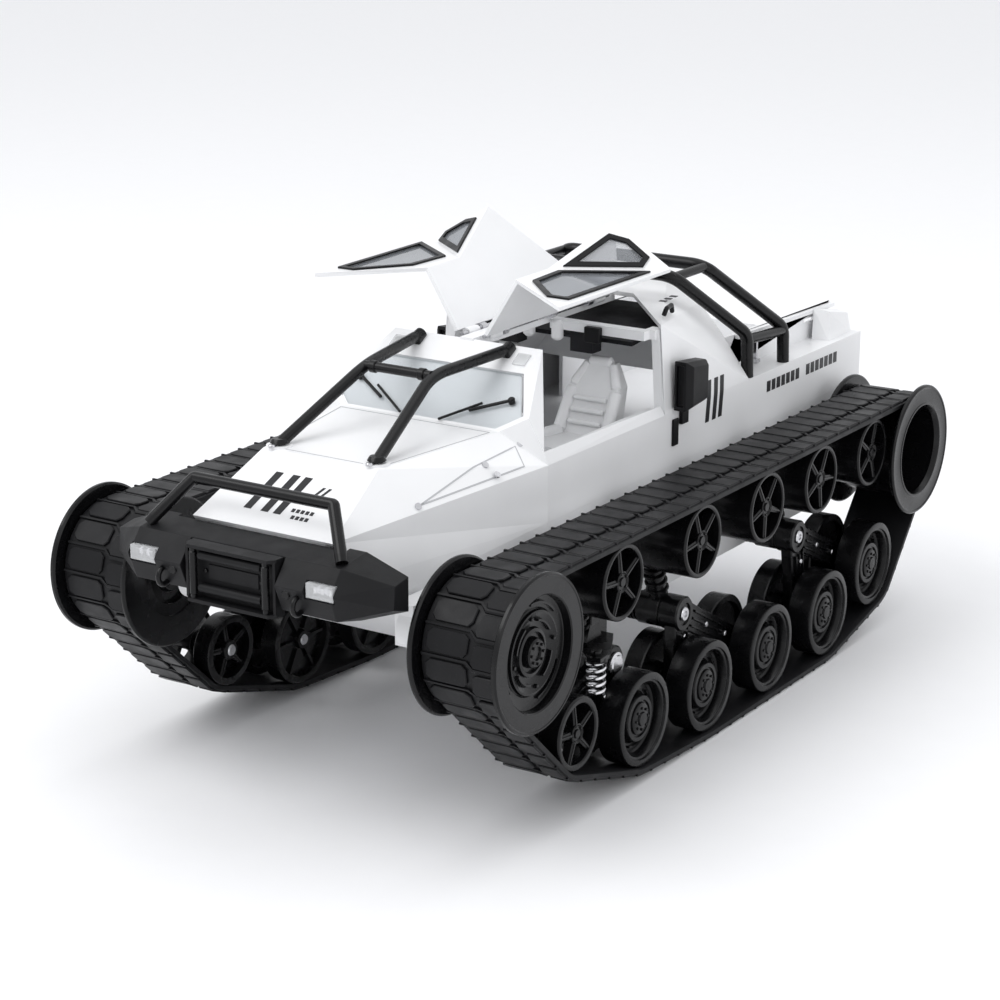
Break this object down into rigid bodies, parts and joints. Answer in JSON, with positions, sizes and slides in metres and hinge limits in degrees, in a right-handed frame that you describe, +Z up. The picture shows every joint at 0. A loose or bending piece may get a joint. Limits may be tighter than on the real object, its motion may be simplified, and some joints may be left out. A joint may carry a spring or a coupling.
{
  "type": "tracked vehicle chassis",
  "caption": "Tracked vehicle with a faceted body, upward-folding doors, roll hoops, bumper and sprung bogies inside two belt tracks.",
  "frame": {"origin": "middle of the overall box, on the ground under the tracks", "axes": "+Z up, front of the vehicle towards -Y, +X towards the vehicle's left"},
  "size_m": [0.225, 0.4453, 0.219],
  "materials": {
    "white_shell": "satin moulded plastic",
    "white_hull": "satin moulded plastic",
    "clear": "clear moulded sheet",
    "black_trim": "fine texture",
    "black_gloss": "moulded gloss",
    "bumper_black": "coarse texture",
    "black_tube": "smooth",
    "rubber": "moulded rubber",
    "steel": "turned",
    "spring_steel": "wire",
    "cabin_white": "moulded",
    "liner": "flocked",
    "board_green": "printed board",
    "battery_wrap": "shrink wrap",
    "motor_metal": "cast"
  },
  "bodies": {
    "chassis": {"body_shell": "white_shell", "hull_tub": "white_hull", "glazing": "clear", "hinge_rods": "steel", "windscreen_trim": "black_tube", "rear_hoops": "black_tube", "bumper": "bumper_black", "bumper_hoop": "black_tube", "bumper_fittings": "black_gloss", "lamp_lenses": "clear", "side_fittings": "black_gloss", "small_fittings": "steel", "cabin_fittings": "cabin_white", "roof_liner": "liner", "drive_units": "motor_metal", "battery_pack": "battery_wrap", "control_board": "board_green", "suspension_struts": "black_trim", "axle_pins": "steel", "front_springs": "spring_steel", "track_belt_left": "rubber", "track_belt_right": "rubber"},
    "door_left": {"door_panel_left": "white_shell", "door_glass_left": "clear", "door_frames_left": "black_trim"},
    "drive_left": {"rear_drum_left": "black_gloss"},
    "idler_left": {"front_drum_left": "black_gloss"},
    "rocker_front_left": {"bogie_front_left": "black_trim"},
    "rocker_middle_left": {"bogie_middle_left": "black_trim"},
    "rocker_rear_left": {"bogie_rear_left": "black_trim"},
    "tensioner_left": {"tension_wheel_left": "black_gloss"},
    "wheel_1_left": {"road_wheel_1_left": "black_gloss"},
    "wheel_2_left": {"road_wheel_2_left": "black_gloss"},
    "wheel_3_left": {"road_wheel_3_left": "black_gloss"},
    "wheel_4_left": {"road_wheel_4_left": "black_gloss"},
    "wheel_5_left": {"road_wheel_5_left": "black_gloss"},
    "roller_1_left": {"return_roller_1_left": "black_gloss"},
    "roller_2_left": {"return_roller_2_left": "black_gloss"},
    "roller_3_left": {"return_roller_3_left": "black_gloss"},
    "roller_4_left": {"return_roller_4_left": "black_gloss"},
    "roller_5_left": {"return_roller_5_left": "black_gloss"},
    "door_right": {"door_panel_right": "white_shell", "door_glass_right": "clear", "door_frames_right": "black_trim"},
    "drive_right": {"rear_drum_right": "black_gloss"},
    "idler_right": {"front_drum_right": "black_gloss"},
    "rocker_front_right": {"bogie_front_right": "black_trim"},
    "rocker_middle_right": {"bogie_middle_right": "black_trim"},
    "rocker_rear_right": {"bogie_rear_right": "black_trim"},
    "tensioner_right": {"tension_wheel_right": "black_gloss"},
    "wheel_1_right": {"road_wheel_1_right": "black_gloss"},
    "wheel_2_right": {"road_wheel_2_right": "black_gloss"},
    "wheel_3_right": {"road_wheel_3_right": "black_gloss"},
    "wheel_4_right": {"road_wheel_4_right": "black_gloss"},
    "wheel_5_right": {"road_wheel_5_right": "black_gloss"},
    "roller_1_right": {"return_roller_1_right": "black_gloss"},
    "roller_2_right": {"return_roller_2_right": "black_gloss"},
    "roller_3_right": {"return_roller_3_right": "black_gloss"},
    "roller_4_right": {"return_roller_4_right": "black_gloss"},
    "roller_5_right": {"return_roller_5_right": "black_gloss"}
  },
  "joints": [
    {"name": "door_left_hinge", "type": "hinge", "parent": "chassis", "child": "door_left", "pos_m": [0.0056, 0, 0.1746], "axis": [0, 1, 0], "range_deg": [0, 58]},
    {"name": "drive_left_spin", "type": "hinge", "parent": "chassis", "child": "drive_left", "pos_m": [0, 0.1868, 0.086], "axis": [1, 0, 0], "continuous": true},
    {"name": "idler_left_spin", "type": "hinge", "parent": "chassis", "child": "idler_left", "pos_m": [0, -0.1678, 0.086], "axis": [1, 0, 0], "continuous": true},
    {"name": "rocker_front_left_pivot", "type": "hinge", "parent": "chassis", "child": "rocker_front_left", "pos_m": [0, -0.0785, 0.0505], "axis": [1, 0, 0], "range_deg": [-4, 4], "stiffness_Nm_per_rad": 4, "deforming": ["track_belt_left", "front_springs"]},
    {"name": "rocker_middle_left_pivot", "type": "hinge", "parent": "chassis", "child": "rocker_middle_left", "pos_m": [0, -0.0175, 0.055], "axis": [1, 0, 0], "range_deg": [-4, 4], "stiffness_Nm_per_rad": 4, "deforming": ["track_belt_left"]},
    {"name": "rocker_rear_left_pivot", "type": "hinge", "parent": "chassis", "child": "rocker_rear_left", "pos_m": [0, 0.0935, 0.0615], "axis": [1, 0, 0], "range_deg": [-4, 4], "stiffness_Nm_per_rad": 4, "deforming": ["track_belt_left"]},
    {"name": "tensioner_left_spin", "type": "hinge", "parent": "rocker_front_left", "child": "tensioner_left", "pos_m": [0, -0.1288, 0.0384], "axis": [1, 0, 0], "continuous": true},
    {"name": "wheel_1_left_spin", "type": "hinge", "parent": "rocker_front_left", "child": "wheel_1_left", "pos_m": [0, -0.0764, 0.0277], "axis": [1, 0, 0], "continuous": true},
    {"name": "wheel_2_left_spin", "type": "hinge", "parent": "rocker_middle_left", "child": "wheel_2_left", "pos_m": [0, -0.0187, 0.0245], "axis": [1, 0, 0], "continuous": true},
    {"name": "wheel_3_left_spin", "type": "hinge", "parent": "rocker_middle_left", "child": "wheel_3_left", "pos_m": [0, 0.0399, 0.0245], "axis": [1, 0, 0], "continuous": true},
    {"name": "wheel_4_left_spin", "type": "hinge", "parent": "rocker_rear_left", "child": "wheel_4_left", "pos_m": [0, 0.099, 0.0245], "axis": [1, 0, 0], "continuous": true},
    {"name": "wheel_5_left_spin", "type": "hinge", "parent": "rocker_rear_left", "child": "wheel_5_left", "pos_m": [0, 0.1485, 0.0358], "axis": [1, 0, 0], "continuous": true},
    {"name": "roller_1_left_spin", "type": "hinge", "parent": "chassis", "child": "roller_1_left", "pos_m": [0, -0.0943, 0.0936], "axis": [1, 0, 0], "continuous": true},
    {"name": "roller_2_left_spin", "type": "hinge", "parent": "chassis", "child": "roller_2_left", "pos_m": [0, -0.0267, 0.0936], "axis": [1, 0, 0], "continuous": true},
    {"name": "roller_3_left_spin", "type": "hinge", "parent": "chassis", "child": "roller_3_left", "pos_m": [0, 0.0334, 0.0936], "axis": [1, 0, 0], "continuous": true},
    {"name": "roller_4_left_spin", "type": "hinge", "parent": "chassis", "child": "roller_4_left", "pos_m": [0, 0.0879, 0.0936], "axis": [1, 0, 0], "continuous": true},
    {"name": "roller_5_left_spin", "type": "hinge", "parent": "chassis", "child": "roller_5_left", "pos_m": [0, 0.1435, 0.0936], "axis": [1, 0, 0], "continuous": true},
    {"name": "door_right_hinge", "type": "hinge", "parent": "chassis", "child": "door_right", "pos_m": [-0.0056, 0, 0.1746], "axis": [0, -1, 0], "range_deg": [0, 58]},
    {"name": "drive_right_spin", "type": "hinge", "parent": "chassis", "child": "drive_right", "pos_m": [0, 0.1868, 0.086], "axis": [1, 0, 0], "continuous": true},
    {"name": "idler_right_spin", "type": "hinge", "parent": "chassis", "child": "idler_right", "pos_m": [0, -0.1678, 0.086], "axis": [1, 0, 0], "continuous": true},
    {"name": "rocker_front_right_pivot", "type": "hinge", "parent": "chassis", "child": "rocker_front_right", "pos_m": [0, -0.0785, 0.0505], "axis": [1, 0, 0], "range_deg": [-4, 4], "stiffness_Nm_per_rad": 4, "deforming": ["track_belt_right", "front_springs"]},
    {"name": "rocker_middle_right_pivot", "type": "hinge", "parent": "chassis", "child": "rocker_middle_right", "pos_m": [0, -0.0175, 0.055], "axis": [1, 0, 0], "range_deg": [-4, 4], "stiffness_Nm_per_rad": 4, "deforming": ["track_belt_right"]},
    {"name": "rocker_rear_right_pivot", "type": "hinge", "parent": "chassis", "child": "rocker_rear_right", "pos_m": [0, 0.0935, 0.0615], "axis": [1, 0, 0], "range_deg": [-4, 4], "stiffness_Nm_per_rad": 4, "deforming": ["track_belt_right"]},
    {"name": "tensioner_right_spin", "type": "hinge", "parent": "rocker_front_right", "child": "tensioner_right", "pos_m": [0, -0.1288, 0.0384], "axis": [1, 0, 0], "continuous": true},
    {"name": "wheel_1_right_spin", "type": "hinge", "parent": "rocker_front_right", "child": "wheel_1_right", "pos_m": [0, -0.0764, 0.0277], "axis": [1, 0, 0], "continuous": true},
    {"name": "wheel_2_right_spin", "type": "hinge", "parent": "rocker_middle_right", "child": "wheel_2_right", "pos_m": [0, -0.0187, 0.0245], "axis": [1, 0, 0], "continuous": true},
    {"name": "wheel_3_right_spin", "type": "hinge", "parent": "rocker_middle_right", "child": "wheel_3_right", "pos_m": [0, 0.0399, 0.0245], "axis": [1, 0, 0], "continuous": true},
    {"name": "wheel_4_right_spin", "type": "hinge", "parent": "rocker_rear_right", "child": "wheel_4_right", "pos_m": [0, 0.099, 0.0245], "axis": [1, 0, 0], "continuous": true},
    {"name": "wheel_5_right_spin", "type": "hinge", "parent": "rocker_rear_right", "child": "wheel_5_right", "pos_m": [0, 0.1485, 0.0358], "axis": [1, 0, 0], "continuous": true},
    {"name": "roller_1_right_spin", "type": "hinge", "parent": "chassis", "child": "roller_1_right", "pos_m": [0, -0.0943, 0.0936], "axis": [1, 0, 0], "continuous": true},
    {"name": "roller_2_right_spin", "type": "hinge", "parent": "chassis", "child": "roller_2_right", "pos_m": [0, -0.0267, 0.0936], "axis": [1, 0, 0], "continuous": true},
    {"name": "roller_3_right_spin", "type": "hinge", "parent": "chassis", "child": "roller_3_right", "pos_m": [0, 0.0334, 0.0936], "axis": [1, 0, 0], "continuous": true},
    {"name": "roller_4_right_spin", "type": "hinge", "parent": "chassis", "child": "roller_4_right", "pos_m": [0, 0.0879, 0.0936], "axis": [1, 0, 0], "continuous": true},
    {"name": "roller_5_right_spin", "type": "hinge", "parent": "chassis", "child": "roller_5_right", "pos_m": [0, 0.1435, 0.0936], "axis": [1, 0, 0], "continuous": true}
  ],
  "couplings": [
    {"joint": "idler_left_spin", "follows": "drive_left_spin", "ratio": 1},
    {"joint": "tensioner_left_spin", "follows": "drive_left_spin", "ratio": 1.5185},
    {"joint": "wheel_1_left_spin", "follows": "drive_left_spin", "ratio": 1.1714},
    {"joint": "wheel_2_left_spin", "follows": "drive_left_spin", "ratio": 1.1714},
    {"joint": "wheel_3_left_spin", "follows": "drive_left_spin", "ratio": 1.1714},
    {"joint": "wheel_4_left_spin", "follows": "drive_left_spin", "ratio": 1.1714},
    {"joint": "wheel_5_left_spin", "follows": "drive_left_spin", "ratio": 1.1714},
    {"joint": "roller_1_left_spin", "follows": "drive_left_spin", "ratio": 1.4909},
    {"joint": "roller_2_left_spin", "follows": "drive_left_spin", "ratio": 1.4909},
    {"joint": "roller_3_left_spin", "follows": "drive_left_spin", "ratio": 1.4909},
    {"joint": "roller_4_left_spin", "follows": "drive_left_spin", "ratio": 1.4909},
    {"joint": "roller_5_left_spin", "follows": "drive_left_spin", "ratio": 1.4909},
    {"joint": "idler_right_spin", "follows": "drive_right_spin", "ratio": 1},
    {"joint": "tensioner_right_spin", "follows": "drive_right_spin", "ratio": 1.5185},
    {"joint": "wheel_1_right_spin", "follows": "drive_right_spin", "ratio": 1.1714},
    {"joint": "wheel_2_right_spin", "follows": "drive_right_spin", "ratio": 1.1714},
    {"joint": "wheel_3_right_spin", "follows": "drive_right_spin", "ratio": 1.1714},
    {"joint": "wheel_4_right_spin", "follows": "drive_right_spin", "ratio": 1.1714},
    {"joint": "wheel_5_right_spin", "follows": "drive_right_spin", "ratio": 1.1714},
    {"joint": "roller_1_right_spin", "follows": "drive_right_spin", "ratio": 1.4909},
    {"joint": "roller_2_right_spin", "follows": "drive_right_spin", "ratio": 1.4909},
    {"joint": "roller_3_right_spin", "follows": "drive_right_spin", "ratio": 1.4909},
    {"joint": "roller_4_right_spin", "follows": "drive_right_spin", "ratio": 1.4909},
    {"joint": "roller_5_right_spin", "follows": "drive_right_spin", "ratio": 1.4909}
  ]
}
